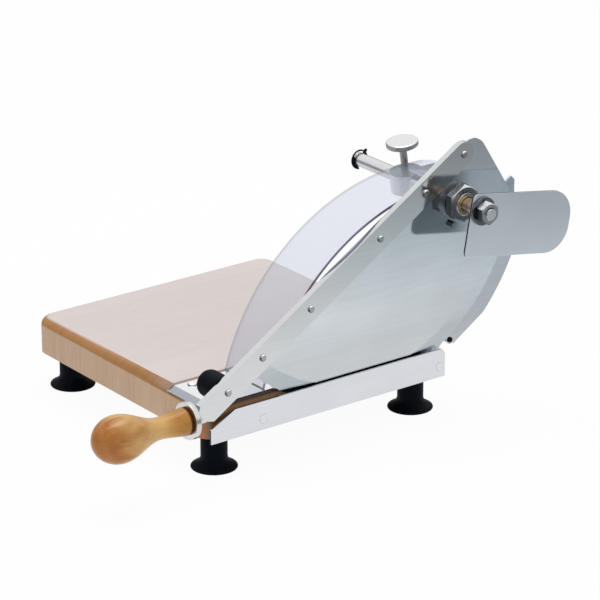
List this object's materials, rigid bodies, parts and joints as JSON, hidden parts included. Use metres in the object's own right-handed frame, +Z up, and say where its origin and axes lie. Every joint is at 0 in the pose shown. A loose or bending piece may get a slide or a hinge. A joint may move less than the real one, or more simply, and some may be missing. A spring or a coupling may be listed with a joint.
{
  "type": "lever bread slicer",
  "caption": "Bread slicer with a curved blade on a swinging arm, a wooden board on suction feet, a clear guard and an adjustable slice thickness stop.",
  "frame": {"origin": "under the middle of the overall box, on the surface that the feet stand on", "axes": "+Z up, +Y from the handle to the rear along the blade, +X from the board to the blade side"},
  "size_m": [0.312, 0.4746, 0.2436],
  "materials": {
    "beech": "oiled, pale, fine grain",
    "grip_wood": "lacquered, honey coloured",
    "polished_steel": "polished stainless sheet",
    "satin_steel": "satin stainless",
    "plain_steel": "turned, bright",
    "brass": "turned",
    "black_rubber": "moulded, matt",
    "black_plastic": "gloss",
    "clear_plastic": "clear, slightly blue"
  },
  "bodies": {
    "base": {"board": "beech", "foot_front_right": "black_rubber", "foot_front_left": "black_rubber", "foot_rear_right": "black_rubber", "foot_rear_left": "black_rubber", "foot_studs": "plain_steel", "base_plate": "polished_steel", "base_plate_screws": "plain_steel", "rail_plate": "polished_steel", "rail_spacers": "plain_steel", "rail_screws": "plain_steel", "rear_post": "polished_steel", "post_screws": "plain_steel", "post_tip_plug": "black_rubber", "guard": "clear_plastic", "guard_screws": "plain_steel", "pivot_axle": "plain_steel", "guide_sleeve": "brass", "pivot_washer": "satin_steel", "pivot_nut": "satin_steel", "clamp_boss": "plain_steel"},
    "lever": {"arm_bar": "polished_steel", "blade": "polished_steel", "arm_screws": "plain_steel", "pivot_bush": "brass", "bush_ring": "plain_steel", "stop_pin": "plain_steel", "bumper": "black_rubber", "handle_tang": "plain_steel", "handle_flange": "plain_steel", "handle_stud": "plain_steel", "handle_grip": "grip_wood"},
    "stop_rod": {"stop_rod": "plain_steel", "rod_end_clip": "black_plastic", "stop_washer": "satin_steel", "stop_nut": "satin_steel"},
    "stop_plate": {"stop_plate": "satin_steel"},
    "thumb_screw": {"thumb_screw_stem": "plain_steel", "thumb_screw_knob": "plain_steel"}
  },
  "joints": [
    {"name": "lever_swing", "type": "hinge", "parent": "base", "child": "lever", "pos_m": [0.11138, 0.13756, 0.1913], "axis": [-1, 0, 0], "range_deg": [0, 65]},
    {"name": "stop_rod_slide", "type": "slide", "parent": "base", "child": "stop_rod", "axis": [1, 0, 0], "range_m": [-0.0175, 0.045]},
    {"name": "stop_plate_turn", "type": "hinge", "parent": "stop_rod", "child": "stop_plate", "pos_m": [0.11138, 0.13756, 0.1913], "axis": [1, 0, 0], "continuous": true},
    {"name": "thumb_screw_turn", "type": "hinge", "parent": "base", "child": "thumb_screw", "pos_m": [0.04088, 0.13756, 0.1913], "axis": [0, -0.1564, 0.9877], "range_deg": [0, 360]}
  ]
}
